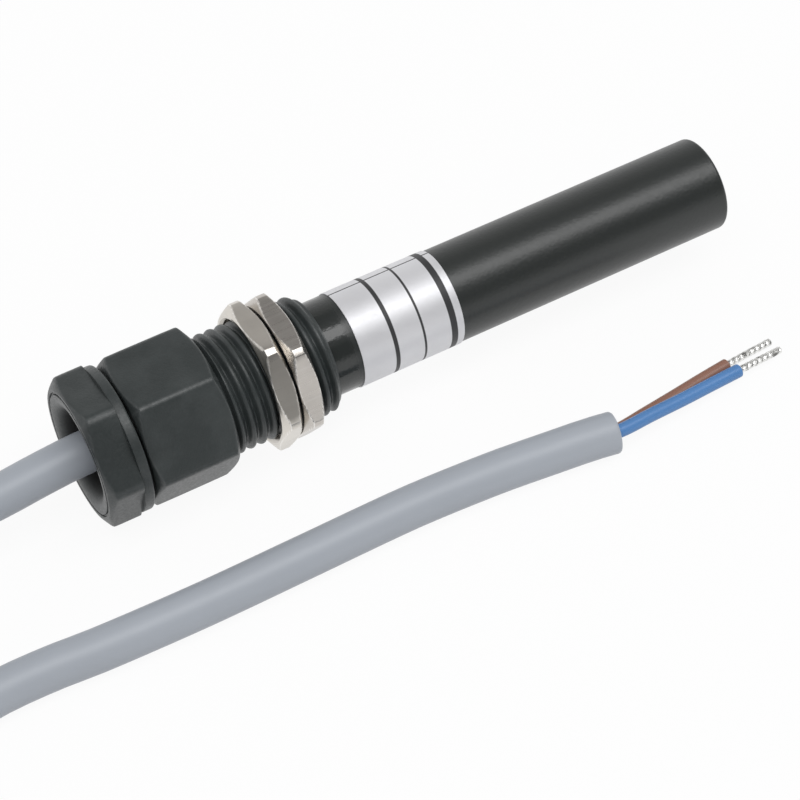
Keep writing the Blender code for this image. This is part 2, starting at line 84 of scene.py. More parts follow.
TAIL_ROUTE = [
    (-93.0, -31.2, 3.5),
    (-85.0, -28.7, 3.45),
    (-78.0, -25.5, 3.3),
    (-73.5, -23.6, 2.95),
    (-68.8, -22.1, 2.7),
    (-63.5, -21.4, CABLE_REST),
    (-57.2, -21.45, CABLE_REST),
    (-50.9, -21.9, CABLE_REST),
    (-38.7, -22.2, CABLE_REST),
    (-26.2, -22.1, CABLE_REST),
    (-13.9, -21.95, CABLE_REST),
    (-7.6, -22.1, CABLE_REST),
    (0.3, -22.6, CABLE_REST),
    (6.7, -23.3, CABLE_REST),
    (11.9, -23.9, CABLE_REST),
    (15.3, -24.5, CABLE_REST),
]


def smooth_route(points, spacing):
    """Even points on a smooth curve through a route's own points."""
    points = [Vector(p) for p in points]
    padded = [2 * points[0] - points[1]] + points + [2 * points[-1] - points[-2]]
    fine = []
    for a, b, c, d in zip(padded, padded[1:], padded[2:], padded[3:]):
        for k in range(24):
            t = k / 24
            fine.append(0.5 * (2 * b + (c - a) * t + (2 * a - 5 * b + 4 * c - d) * t * t
                               + (3 * b - a - 3 * c + d) * t ** 3))
    fine.append(points[-1])
    total = sum((q - p).length for p, q in zip(fine, fine[1:]))
    steps = max(2, round(total / spacing))
    even, walked, k = [fine[0]], 0.0, 1
    for p, q in zip(fine, fine[1:]):
        stretch = (q - p).length
        while k < steps and walked + stretch >= total * k / steps:
            even.append(p.lerp(q, (total * k / steps - walked) / stretch))
            k += 1
        walked += stretch
    even.append(fine[-1])
    return even


def hank_route():
    """Turns of the hank, three runs to a layer: third and top layer first, then the second and the lowest."""
    low, second, third, high = [HANK_LIFT + CABLE_D * (k + 0.5) for k in range(4)]
    x, y = HANK_CENTRE
    changes = {5: high, 11: second, 17: low}
    points = []
    radius, height = HANK_OUTER, third
    for leg in range(HANK_LEGS):
        side = leg % 4
        next_radius = HANK_INNER + HANK_OUTER - radius if leg % 6 == 2 else radius
        next_height = changes.get(leg, height)
        for k in range(LEG_STEPS):
            t = k / LEG_STEPS
            ease = t * t * (3 - 2 * t)
            soon = min(1.0, t * 1.33)
            fall = soon * soon * (3 - 2 * soon)
            r = radius + (next_radius - radius) * ease
            z = height + (next_height - height) * fall
            if side % 2:
                a = math.radians((90 if side == 1 else -90) + 180 * t)
                centre = x - HANK_HALF_RUN if side == 1 else x + HANK_HALF_RUN
                points.append((centre + r * math.cos(a), y + r * math.sin(a), z))
            else:
                way = 1 if side == 0 else -1
                points.append((x + way * HANK_HALF_RUN * (1 - 2 * t), y + way * r, z))
        radius, height = next_radius, next_height
    points.append((x + HANK_HALF_RUN, y - radius, height))
    return points


def swept(name, path, radius, sides=28, rounding=0.0, twist=0.0, lobes=0, lobe_depth=0.0):
    """Round body along a path in millimetres, with rounded ends and, for strands, a twisted lobed section."""
    path = [Vector(p) for p in path]
    ends = []
    if rounding:
        for k in (0, 0.25, 0.6, 1):
            ends.append((k * rounding, radius - rounding * (1 - math.sqrt(max(0.0, 1 - (1 - k) ** 2)))))
    run = [0.0]
    for p, q in zip(path, path[1:]):
        run.append(run[-1] + (q - p).length)
    stations = sorted(set([round(s, 5) for s in run]
                          + [round(s, 5) for s, _ in ends] + [round(run[-1] - s, 5) for s, _ in ends]))
    bm = bmesh.new()
    along = bm.verts.layers.float.new("along")
    rings = []
    across = None
    k = 0
    for s in stations:
        while k < len(run) - 2 and run[k + 1] < s:
            k += 1
        t = (s - run[k]) / max(1e-9, run[k + 1] - run[k])
        here = path[k].lerp(path[k + 1], t)
        first = path[k + 1] - path[max(0, k - 1)]
        second = path[min(len(path) - 1, k + 2)] - path[k]
        forward = first.normalized().lerp(second.normalized(), t).normalized()
        if across is None:
            across = forward.cross(Vector((0, 0, 1))).normalized()
        across = (across - forward * across.dot(forward)).normalized()
        up = forward.cross(across)
        r = radius
        for gap, small in ends:
            near_start = s <= rounding and abs(s - gap) < 1e-4
            near_end = s >= run[-1] - rounding and abs(run[-1] - s - gap) < 1e-4
            if near_start or near_end:
                r = min(r, small)
        ring = []
        for i in range(sides):
            a = math.tau * i / sides
            reach = r * (1 - lobe_depth * (0.5 - 0.5 * math.cos(lobes * (a + twist * s)))) if lobes else r
            v = bm.verts.new(here + across * reach * math.cos(a) + up * reach * math.sin(a))
            v[along] = s / run[-1]
            ring.append(v)
        rings.append(ring)
    for low, high in zip(rings, rings[1:]):
        for i in range(sides):
            n = (i + 1) % sides
            bm.faces.new((low[i], low[n], high[n], high[i]))
    bm.faces.new(list(reversed(rings[0])))
    bm.faces.new(rings[-1])
    return mesh_piece(name, bm)


def mesh_piece(name, bm, sharp=32):
    """Links a mesh drawn in millimetres as a smooth-shaded object in metres."""
    bmesh.ops.recalc_face_normals(bm, faces=bm.faces)
    if bm.calc_volume(signed=True) < 0:
        bmesh.ops.reverse_faces(bm, faces=bm.faces)
    bmesh.ops.scale(bm, vec=(MM, MM, MM), verts=bm.verts)
    mesh = bpy.data.meshes.new(name)
    bm.to_mesh(mesh)
    bm.free()
    mesh.shade_smooth()
    mesh.set_sharp_from_angle(angle=math.radians(sharp))
    piece = bpy.data.objects.new(name, mesh)
    bpy.context.collection.objects.link(piece)
    return piece


def new_group(name, inputs, outputs):
    """An empty shader node group with typed sockets and their resting values."""
    group = bpy.data.node_groups.new(name, "ShaderNodeTree")
    for label, kind, value in inputs:
        socket = group.interface.new_socket(label, in_out="INPUT", socket_type=kind)
        if value is not None:
            socket.default_value = value
    for label, kind in outputs:
        group.interface.new_socket(label, in_out="OUTPUT", socket_type=kind)
    return group, group.nodes.new("NodeGroupInput"), group.nodes.new("NodeGroupOutput")


def noise(nodes, links, vector, scale, detail=3.0, roughness=0.5):
    made = nodes.new("ShaderNodeTexNoise")
    made.inputs["Scale"].default_value = scale
    made.inputs["Detail"].default_value = detail
    made.inputs["Roughness"].default_value = roughness
    links.new(vector, made.inputs["Vector"])
    return made


def math_node(nodes, links, operation, a, b=None, c=None):
    made = nodes.new("ShaderNodeMath")
    made.operation = operation
    for socket, value in zip(made.inputs, (a, b, c)):
        if value is None:
            continue
        if isinstance(value, (int, float)):
            socket.default_value = value
        else:
            links.new(value, socket)
    return made.outputs[0]


def mix_colour(nodes, links, factor, a, b):
    made = nodes.new("ShaderNodeMix")
    made.data_type = "RGBA"
    for socket, value in ((made.inputs[0], factor), (made.inputs[6], a), (made.inputs[7], b)):
        if isinstance(value, (int, float)):
            socket.default_value = value
        elif isinstance(value, tuple):
            socket.default_value = (*value, 1.0)
        else:
            links.new(value, socket)
    return made.outputs[2]


def map_range(nodes, links, value, low, high, to_low, to_high, smooth=False):
    made = nodes.new("ShaderNodeMapRange")
    made.interpolation_type = "SMOOTHSTEP" if smooth else "LINEAR"
    links.new(value, made.inputs["Value"])
    for label, number in (("From Min", low), ("From Max", high), ("To Min", to_low), ("To Max", to_high)):
        made.inputs[label].default_value = number
    return made.outputs["Result"]


def skin_group():
    """Fine skin of extruded and moulded plastic: tone that drifts, uneven gloss and a shallow grain."""
    group, gin, gout = new_group(
        "plastic_skin",
        [("Tone", "NodeSocketColor", (0.5, 0.5, 0.5, 1)), ("Drift", "NodeSocketFloat", 0.1),
         ("Gloss", "NodeSocketFloat", 0.4), ("Gloss Drift", "NodeSocketFloat", 0.1),
         ("Grain Size", "NodeSocketFloat", 1500.0), ("Grain Depth", "NodeSocketFloat", 0.00001)],
        [("Colour", "NodeSocketColor"), ("Roughness", "NodeSocketFloat"), ("Normal", "NodeSocketVector")])
    nodes, links = group.nodes, group.links
    place = nodes.new("ShaderNodeTexCoord").outputs["Object"]
    broad = noise(nodes, links, place, 90.0, 4.0)
    fine = noise(nodes, links, place, 100.0, 2.0)
    links.new(gin.outputs["Grain Size"], fine.inputs["Scale"])
    paler = math_node(nodes, links, "SUBTRACT", broad.outputs["Fac"], 0.5)
    shade = math_node(nodes, links, "MULTIPLY_ADD", paler, gin.outputs["Drift"], 1.0)
    scaled = nodes.new("ShaderNodeVectorMath")
    scaled.operation = "SCALE"
    links.new(gin.outputs["Tone"], scaled.inputs[0])
    links.new(shade, scaled.inputs["Scale"])
    links.new(scaled.outputs[0], gout.inputs["Colour"])
    duller = math_node(nodes, links, "SUBTRACT", fine.outputs["Fac"], 0.5)
    rough = math_node(nodes, links, "MULTIPLY_ADD", duller, gin.outputs["Gloss Drift"], gin.outputs["Gloss"])
    links.new(rough, gout.inputs["Roughness"])
    bump = nodes.new("ShaderNodeBump")
    bump.inputs["Strength"].default_value = 1.0
    links.new(gin.outputs["Grain Depth"], bump.inputs["Distance"])
    links.new(fine.outputs["Fac"], bump.inputs["Height"])
    links.new(bump.outputs["Normal"], gout.inputs["Normal"])
    return group


plastic_skin = skin_group()


def plastic(name, tone, gloss, drift=0.12, gloss_drift=0.12, grain=1800.0, depth=0.00001, specular=0.5):
    """Principled plastic dressed with the shared skin; constants sit on the shader itself."""
    made = bpy.data.materials.new(name)
    made.use_nodes = True
    nodes, links = made.node_tree.nodes, made.node_tree.links
    shader = nodes["Principled BSDF"]
    skin = nodes.new("ShaderNodeGroup")
    skin.node_tree = plastic_skin
    skin.inputs["Tone"].default_value = (*tone, 1)
    skin.inputs["Drift"].default_value = drift
    skin.inputs["Gloss"].default_value = gloss
    skin.inputs["Gloss Drift"].default_value = gloss_drift
    skin.inputs["Grain Size"].default_value = grain
    skin.inputs["Grain Depth"].default_value = depth
    links.new(skin.outputs["Colour"], shader.inputs["Base Color"])
    links.new(skin.outputs["Roughness"], shader.inputs["Roughness"])
    links.new(skin.outputs["Normal"], shader.inputs["Normal"])
    shader.inputs["Specular IOR Level"].default_value = specular
    return made


def dress(piece, material, slot, body, *nodes):
    """Gives a piece its finish, the CAD nodes it stands for and the body it rides on; the slot argument is
    not used.
    """
    piece.data.materials.clear()
    piece.data.materials.append(material)
    if nodes:
        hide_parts(*nodes)
    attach(piece, body)
    return piece


cable_path = smooth_route(LEAD_ROUTE + hank_route() + TAIL_ROUTE, 2.4)
cable = swept("cable", cable_path, CABLE_D / 2, sides=32, rounding=0.45)
jacket = plastic("jacket_pvc", (0.365, 0.392, 0.43), 0.42, drift=0.1, grain=2600.0, depth=0.000008)
dress(cable, jacket, "grey_pvc", "sensor", "cable_lead_out", "cable_coil", "cable_tail")


# Cores and their ends. The jacket is cut back to bare a brown and a blue core, and each core's
# stranded copper is twisted and dipped in solder for the terminal.
BLUE_ROUTE = [(13.2, -24.65, 3.3), (15.9, -25.0, 3.17), (20.4, -24.5, 2.75), (25.05, -24.03, 2.25),
              (29.5, -23.5, 1.8), (33.9, -23.1, 1.5)]
BROWN_ROUTE = [(13.2, -23.6, 1.95), (15.9, -23.7, 1.6), (20.9, -22.95, 1.3), (25.05, -22.33, 1.1),
               (29.25, -21.7, 0.95), (33.45, -21.2, 0.9)]
BLUE_STRAND = [(33.0, -23.2, 1.55), (34.25, -23.07, 1.48), (37.3, -22.8, 1.25), (40.35, -22.5, 1.0)]
BROWN_STRAND = [(32.5, -21.32, 0.92), (33.8, -21.15, 0.88), (37.0, -20.8, 0.75), (40.25, -20.5, 0.6)]
CORE_D = 1.7
STRAND_D = 0.95
STRANDS = 7
STRAND_TWIST = 1.1


def tinned_material():
    """Bright solder with dull hollows between the strands."""
    made = bpy.data.materials.new("tinned_strands")
    made.use_nodes = True
    nodes, links = made.node_tree.nodes, made.node_tree.links
    shader = nodes["Principled BSDF"]
    shader.inputs["Metallic"].default_value = 1.0
    place = nodes.new("ShaderNodeTexCoord").outputs["Object"]
    blots = noise(nodes, links, place, 900.0, 3.0, 0.6)
    mask = map_range(nodes, links, blots.outputs["Fac"], 0.5, 0.68, 0.0, 1.0, True)
    links.new(mix_colour(nodes, links, mask, (0.86, 0.86, 0.84), (0.22, 0.22, 0.21)),
              shader.inputs["Base Color"])
    links.new(map_range(nodes, links, blots.outputs["Fac"], 0.3, 0.7, 0.16, 0.5), shader.inputs["Roughness"])
    bump = nodes.new("ShaderNodeBump")
    bump.inputs["Distance"].default_value = 0.00006
    links.new(blots.outputs["Fac"], bump.inputs["Height"])
    links.new(bump.outputs["Normal"], shader.inputs["Normal"])
    return made


brown_pvc = plastic("core_brown_pvc", (0.27, 0.135, 0.095), 0.38, drift=0.25, grain=1400.0, depth=0.00002)
blue_pvc = plastic("core_blue_pvc", (0.08, 0.215, 0.47), 0.38, drift=0.25, grain=1400.0, depth=0.00002)
tinned = tinned_material()
core_blue = swept("core_blue_insulation", smooth_route(BLUE_ROUTE, 0.6), CORE_D / 2, sides=24, rounding=0.12)
core_brown = swept("core_brown_insulation", smooth_route(BROWN_ROUTE, 0.6), CORE_D / 2, sides=24,
                   rounding=0.12)
end_blue = swept("tinned_strands_blue", smooth_route(BLUE_STRAND, 0.1), STRAND_D / 2, rounding=0.12,
                 twist=STRAND_TWIST, lobes=STRANDS, lobe_depth=0.16)
end_brown = swept("tinned_strands_brown", smooth_route(BROWN_STRAND, 0.1), STRAND_D / 2, rounding=0.12,
                  twist=STRAND_TWIST, lobes=STRANDS, lobe_depth=0.16)
dress(core_blue, blue_pvc, "blue_pvc", "sensor", "core_blue")
dress(core_brown, brown_pvc, "brown_pvc", "sensor", "core_brown")
dress(end_blue, tinned, "tinned_copper", "sensor", "tinned_end_blue")
dress(end_brown, tinned, "tinned_copper", "sensor", "tinned_end_brown")


# Tie. A flat strap of black nylon passed round the middle of the hank and welded into a loop, with
# rounded edges so that it does not cut the jacket.
TIE_HALF_WIDTH = 1.8
TIE_CORNER = 1.5
TIE_INSIDE, TIE_OUTSIDE = 0.2, 0.57       # gaps from the hank to the strap's two faces


def tie_outline(gap, corner, steps=8):
    """Rounded loop round the hank's cross-section."""
    half_width = HANK_OUTER + CABLE_D / 2 + gap
    half_height = 2 * CABLE_D + gap
    middle = HANK_LIFT + 2 * CABLE_D
    outline = []
    for quarter, (across, up) in enumerate([(1, 1), (-1, 1), (-1, -1), (1, -1)]):
        for k in range(steps + 1):
            a = math.radians(90 * quarter + 90 * k / steps)
            outline.append((HANK_CENTRE[1] + across * (half_width - corner) + corner * math.cos(a),
                            middle + up * (half_height - corner) + corner * math.sin(a)))
    return outline


def band():
    """Strap of the tie with rounded edges."""
    bm = bmesh.new()
    half = [(TIE_HALF_WIDTH - 0.2, TIE_OUTSIDE), (TIE_HALF_WIDTH - 0.08, TIE_OUTSIDE - 0.07),
            (TIE_HALF_WIDTH, TIE_OUTSIDE - 0.19), (TIE_HALF_WIDTH, TIE_INSIDE + 0.08),
            (TIE_HALF_WIDTH - 0.1, TIE_INSIDE)]
    section = half + [(-along, gap) for along, gap in reversed(half)]
    loops = [[bm.verts.new((HANK_CENTRE[0] + along, y, z)) for y, z in tie_outline(gap, TIE_CORNER + gap)]
             for along, gap in section]
    for low, high in zip(loops, loops[1:] + loops[:1]):
        for i in range(len(low)):
            n = (i + 1) % len(low)
            bm.faces.new((low[i], low[n], high[n], high[i]))
    return mesh_piece("hank_tie", bm)


tie = band()
dress(tie, plastic("tie_nylon", (0.02, 0.02, 0.021), 0.42), "black_polyamide", "sensor", "cable_tie")


# Pressure screw. Moulded in black polyamide with a hexagon for the spanner, a round collar behind it and
# a flared mouth for the lead. Screwed in, it squeezes the seal ring onto the jacket.
SPANNER = 17.0
CHAMFER_SLOPE = math.tan(math.radians(30))
SCREW_TURN, BODY_TURN = 80.0, 87.8


def hexagon_angles(corner, turn, flat_steps=10, corner_steps=7):
    """Angles round the axis, close together where a rounded hexagon's corners lie."""
    half = SPANNER / 2
    centre = SPANNER / math.sqrt(3) - corner / math.cos(math.radians(30))
    edge = math.degrees(math.atan(centre * 0.5 / half))
    found = []
    for k in range(6):
        for i in range(flat_steps):
            found.append(turn + 60 * k - edge + 2 * edge * i / flat_steps)
        for i in range(corner_steps):
            found.append(turn + 60 * k + edge + (60 - 2 * edge) * i / corner_steps)
    return [math.radians(a) for a in found]


def hexagon_reach(corner, turn):
    """Distance from the axis to a rounded hexagon's outline, as a function of the angle."""
    half = SPANNER / 2
    centre = SPANNER / math.sqrt(3) - corner / math.cos(math.radians(30))
    edge = math.atan(centre * 0.5 / half)

    def reach(a):
        off = (a - math.radians(turn)) % math.radians(60)
        off = min(off, math.radians(60) - off)
        if off <= edge:
            return half / math.cos(off)
        rest = math.radians(30) - off
        return centre * math.cos(rest) + math.sqrt(max(0.0, corner ** 2 - (centre * math.sin(rest)) ** 2))
    return reach


def soft_least(a, b, round_off):
    """The smaller of two lengths, with the change from one to the other rounded."""
    return (a + b - math.sqrt((a - b) ** 2 + round_off ** 2)) / 2


def arc(start, end, centre, steps=4):
    """Stations and radii on the quarter turn from start to end about a centre."""
    a0 = math.atan2(start[1] - centre[1], start[0] - centre[0])
    a1 = math.atan2(end[1] - centre[1], end[0] - centre[0])
    if abs(a1 - a0) > math.pi:
        a1 += math.tau if a1 < a0 else -math.tau
    r = math.hypot(start[0] - centre[0], start[1] - centre[1])
    return [(centre[0] + r * math.cos(a0 + (a1 - a0) * k / steps),
             centre[1] + r * math.sin(a0 + (a1 - a0) * k / steps)) for k in range(steps + 1)]


def turned_piece(name, rings, angles, closed=True, sharp=32):
    """Skin through rings (station, radius or function of angle), closed into a ring or capped on the axis."""
    bm = bmesh.new()
    # Per-vertex marks: rubbed-edge wear above zero, and below zero the depth that sets painted shade in a
    # bore.
    wear_and_shade_layer = bm.verts.layers.float.new("edge")
    rows = []
    for entry in rings:
        x, reach = entry[0], entry[1]
        edge = entry[2] if len(entry) > 2 else 0.0
        row = []
        for a in angles:
            r = reach(a) if callable(reach) else reach
            v = bm.verts.new((x - HALF_LENGTH, r * math.cos(a), AXIS_HEIGHT + r * math.sin(a)))
            v[wear_and_shade_layer] = edge(a) if callable(edge) else edge
            row.append(v)
        rows.append(row)
    count = len(angles)
    pairs = list(zip(rows, rows[1:]))
    if closed:
        pairs.append((rows[-1], rows[0]))
    for low, high in pairs:
        for i in range(count):
            n = (i + 1) % count
            bm.faces.new((low[i], low[n], high[n], high[i]))
    if not closed:
        bm.faces.new(rows[0])
        bm.faces.new(rows[-1])
    return mesh_piece(name, bm, sharp)


def hexagon_rings(start, end, corner, turn, front, back, face_circle=16.7, round_off=0.22):
    """Rings of a hexagon whose ends are turned to a 30 degree chamfer, with worn edges marked."""
    reach = hexagon_reach(corner, turn)
    top = SPANNER / math.sqrt(3) + 0.35
    clear = top + 3
    fall = (top - face_circle / 2) * CHAMFER_SLOPE

    def limited(cone):
        return lambda a: soft_least(cone, reach(a), round_off)

    def worn(cone):
        def amount(a):
            off = abs((a - math.radians(turn)) % math.radians(60) - math.radians(30))
            ridge = math.exp(-(off / math.radians(1.6)) ** 2)
            if cone is None:
                return 0.55 * ridge
            return max(0.8 * math.exp(-((cone - reach(a)) / 0.16) ** 2), 0.55 * ridge)
        return amount

    steps = 14
    rings = []
    if front:
        for k in range(steps + 1):
            s = fall * k / steps
            cone = face_circle / 2 + s / CHAMFER_SLOPE
            rings.append((start + s, limited(cone), worn(cone)))
    else:
        rings.append((start, limited(clear), worn(None)))
    for k in range(1, 5):
        low = start + (fall if front else 0)
        high = end - (fall if back else 0)
        rings.append((low + (high - low) * k / 5, limited(clear), worn(None)))
    if back:
        for k in range(steps, -1, -1):
            s = fall * k / steps
            cone = face_circle / 2 + s / CHAMFER_SLOPE
            rings.append((end - s, limited(cone), worn(cone)))
    else:
        rings.append((end, limited(clear), worn(None)))
    return rings


def moulded_black():
    """Matt black polyamide: eroded-mould grain, faint flow clouds, paler rubbed edges and painted shade that
    darkens the screw's bore towards black with depth.
    """
    made = plastic("moulded_black_polyamide", (0.028, 0.034, 0.034), 0.40, drift=0.5, gloss_drift=0.35,
                   grain=3200.0, depth=0.00002, specular=0.5)
    nodes, links = made.node_tree.nodes, made.node_tree.links
    shader = nodes["Principled BSDF"]
    skin = next(n for n in nodes if n.type == "GROUP")
    # The edge attribute holds rubbed-edge wear above zero and, below zero, the bore depth that sets the
    # painted shade.
    worn = nodes.new("ShaderNodeAttribute")
    worn.attribute_name = "edge"
    place = nodes.new("ShaderNodeTexCoord").outputs["Object"]
    patchy = noise(nodes, links, place, 700.0, 3.0)
    amount = math_node(nodes, links, "MULTIPLY", worn.outputs["Fac"],
                       map_range(nodes, links, patchy.outputs["Fac"], 0.35, 0.65, 0.25, 1.0))
    handled = noise(nodes, links, place, 160.0, 5.0, 0.6)
    cloudy = mix_colour(nodes, links, map_range(nodes, links, handled.outputs["Fac"], 0.45, 0.75, 0.0, 0.6),
                        skin.outputs["Colour"], (0.062, 0.07, 0.07))
    rubbed = mix_colour(nodes, links, amount, cloudy, (0.075, 0.082, 0.082))
    # Painted shade: the deeper a point lies in the screw's bore, the nearer black and the duller it is
    # painted.
    painted_bore_shade = map_range(nodes, links, worn.outputs["Fac"], -1.0, -0.1, 1.0, 0.0)
    links.new(mix_colour(nodes, links, painted_bore_shade, rubbed, (0.005, 0.005, 0.005)), shader.inputs["Base Color"])
    links.new(mix_colour(nodes, links, painted_bore_shade, skin.outputs["Roughness"], (0.9, 0.9, 0.9)),
              shader.inputs["Roughness"])
    return made


polyamide = moulded_black()
SCREW_CORNER = 1.6
SCREW_HEX_END, COLLAR_END, SHANK_END = 4.2, 5.5, 10.5
COLLAR_R, SHANK_R = 9.15, 6.4
# Flare of the mouth and the fine ring groove beside it, as stations and radii from the bore outwards.
screw_mouth = [(4.2, 4.3), (3.4, 4.32), (2.7, 4.42), (2.0, 4.62), (1.4, 4.9), (0.9, 5.28), (0.5, 5.7),
               (0.22, 6.2), (0.06, 6.75), (0.0, 7.2)]
screw_groove = [(0.0, 7.58), (0.06, 7.6), (0.22, 7.64), (0.24, 7.74), (0.22, 7.84), (0.05, 7.88), (0.0, 7.92)]
# A mark below zero tells the finish how deep in the bore it lies, and there the finish paints shade, darker
# with depth.
screw_mouth = [(s, r, -min(1.0, s / 1.1)) for s, r in screw_mouth]
screw_rings = [(SHANK_END - 0.3, 4.3, -1.0)] + screw_mouth + screw_groove
screw_rings += hexagon_rings(0.0, SCREW_HEX_END, SCREW_CORNER, SCREW_TURN, True, False)
screw_rings += [(SCREW_HEX_END + 0.02, COLLAR_R - 0.1), (SCREW_HEX_END + 0.06, COLLAR_R - 0.03),
                (SCREW_HEX_END + 0.14, COLLAR_R), (4.6, COLLAR_R), (5.0, COLLAR_R)]
screw_rings += arc((COLLAR_END - 0.3, COLLAR_R), (COLLAR_END, COLLAR_R - 0.3),
                   (COLLAR_END - 0.3, COLLAR_R - 0.3))
screw_rings += [(COLLAR_END, 7.0), (COLLAR_END, SHANK_R + 0.1), (COLLAR_END + 0.1, SHANK_R), (8.0, SHANK_R),
                (SHANK_END - 0.5, SHANK_R), (SHANK_END - 0.1, SHANK_R - 0.3), (SHANK_END, SHANK_R - 0.5),
                (SHANK_END, 4.6), (SHANK_END - 0.1, 4.35)]
pressure_screw = turned_piece("pressure_screw", screw_rings, hexagon_angles(SCREW_CORNER, SCREW_TURN))
dress(pressure_screw, polyamide, "black_polyamide", "pressure_screw", "gland_pressure_screw")


# Gland body. One moulding in black polyamide: hexagon, shoulder and a coarse right-hand gland thread
# with rounded crests, bored in front for the seal and behind for the tube, which is glued in.
BODY_CORNER = 1.0
THREAD_R = 7.525
THREAD_PITCH = 1.411
THREAD_DEPTH = 0.72
THREAD_CREST = 17.2
THREAD_START = 17.15
THREAD_STEPS = 170
BODY_START, BODY_END, STEM_END = 5.95, 16.9, 31.2
SEAL_SEAT, SOCKET_START = 15.4, 17.7
BORE_R, WEB_R, SOCKET_R = 6.7, 3.8, 6.25


def thread_reach(x, major, depth):
    """Radius of a rounded helical thread at a station, as a function of the angle."""
    fade = max(0.0, min(1.0, (x - THREAD_START) / 0.5, (STEM_END - x) / 0.7))

    def reach(a):
        phase = (x - THREAD_CREST) / THREAD_PITCH - a / math.tau
        lift = 0.5 + 0.5 * math.cos(math.tau * phase)
        return major - depth * (1 - fade * lift * (1.6 - 0.6 * lift))
    return reach


body_angles = hexagon_angles(BODY_CORNER, BODY_TURN, 12, 6)
body_rings = [(SEAL_SEAT, WEB_R), (SEAL_SEAT, BORE_R - 0.1), (SEAL_SEAT - 0.1, BORE_R), (10.0, BORE_R),
              (6.6, BORE_R), (6.1, BORE_R + 0.1), (BODY_START, BORE_R + 0.4)]
body_rings += hexagon_rings(BODY_START, BODY_END, BODY_CORNER, BODY_TURN, True, True)
body_rings += [(BODY_END, 7.7), (BODY_END + 0.02, 7.2), (BODY_END + 0.12, 6.95)]
for k in range(THREAD_STEPS + 1):
    x = THREAD_START + (STEM_END - THREAD_START) * k / THREAD_STEPS
    body_rings.append((x, thread_reach(x, THREAD_R, THREAD_DEPTH)))
body_rings += [(STEM_END + 0.01, 6.6), (STEM_END, SOCKET_R + 0.1), (STEM_END - 0.1, SOCKET_R),
               (24.0, SOCKET_R), (SOCKET_START, SOCKET_R), (SOCKET_START, WEB_R)]
gland_body = turned_piece("gland_body_moulding", body_rings, body_angles, sharp=40)
dress(gland_body, polyamide, "black_polyamide", "sensor", "gland_body")


# Lock nuts. Cut from drawn hexagon brass bar, faced, chamfered and nickel plated, with the bar's long
# draw lines still on the flats. They clamp a bracket against the gland's hexagon or between them.
NUT_TOP = 9.56
NUT_FACE_R = 8.35
NUT_BORE_R = 7.66
NUT_THICKNESS = 2.65
NUT_PLACES = [("lock_nut_a", "lock_nut_gland_side", "nut_gland_side", 22.45, 86.5),
              ("lock_nut_b", "lock_nut_tube_side", "nut_tube_side", 25.40, 95.0)]


def nickel_plate(name, warm, drawn, line_depth, seed):
    """Nickel over drawn brass: draw lines along the axis, plating clouds and bright worn edges."""
    made = bpy.data.materials.new(name)
    made.use_nodes = True
    nodes, links = made.node_tree.nodes, made.node_tree.links
    shader = nodes["Principled BSDF"]
    shader.inputs["Metallic"].default_value = 1.0
    place = nodes.new("ShaderNodeTexCoord").outputs["Object"]
    stretch = nodes.new("ShaderNodeMapping")
    stretch.inputs["Scale"].default_value = (0.02, 1.0, 1.0)
    stretch.inputs["Location"].default_value = (seed, seed, 0)
    links.new(place, stretch.inputs["Vector"])
    lines = noise(nodes, links, stretch.outputs["Vector"], 2400.0, 4.0, 0.7)
    clouds = noise(nodes, links, place, 260.0, 4.0)
    tone = mix_colour(nodes, links, map_range(nodes, links, clouds.outputs["Fac"], 0.3, 0.7, 0.0, 1.0),
                      warm, tuple(c * 0.86 for c in warm))
    tone = mix_colour(nodes, links, map_range(nodes, links, lines.outputs["Fac"], 0.55, 0.8, 0.0, drawn),
                      tone, (0.9, 0.88, 0.85))
    worn = nodes.new("ShaderNodeAttribute")
    worn.attribute_name = "edge"
    tone = mix_colour(nodes, links, worn.outputs["Fac"], tone, (0.93, 0.91, 0.88))
    links.new(tone, shader.inputs["Base Color"])
    links.new(map_range(nodes, links, lines.outputs["Fac"], 0.2, 0.8, 0.27 - 0.1 * drawn, 0.3 + 0.12 * drawn),
              shader.inputs["Roughness"])
    bump = nodes.new("ShaderNodeBump")
    bump.inputs["Distance"].default_value = line_depth
    links.new(lines.outputs["Fac"], bump.inputs["Height"])
    links.new(bump.outputs["Normal"], shader.inputs["Normal"])
    return made


def nut_angles(turn):
    """Angles round a nut whose corners are turned off to a narrow cylindrical band."""
    edge = math.degrees(math.acos(SPANNER / 2 / NUT_TOP))
    found = []
    for k in range(6):
        middle = turn + 60 * k
        found += [middle - edge + 0.25 + (2 * edge - 0.5) * i / 14 for i in range(15)]
        found += [middle + edge - 0.06 + (60 - 2 * edge + 0.12) * i / 6 for i in range(7)]
    return [math.radians(a) for a in found]


def nut_reach(turn):
    """Distance from the axis to a nut's outline, as a function of the angle."""
    def reach(a):
        off = (a - math.radians(turn) + math.radians(30)) % math.radians(60) - math.radians(30)
        return soft_least(SPANNER / 2 / math.cos(off), NUT_TOP, 0.03)
    return reach


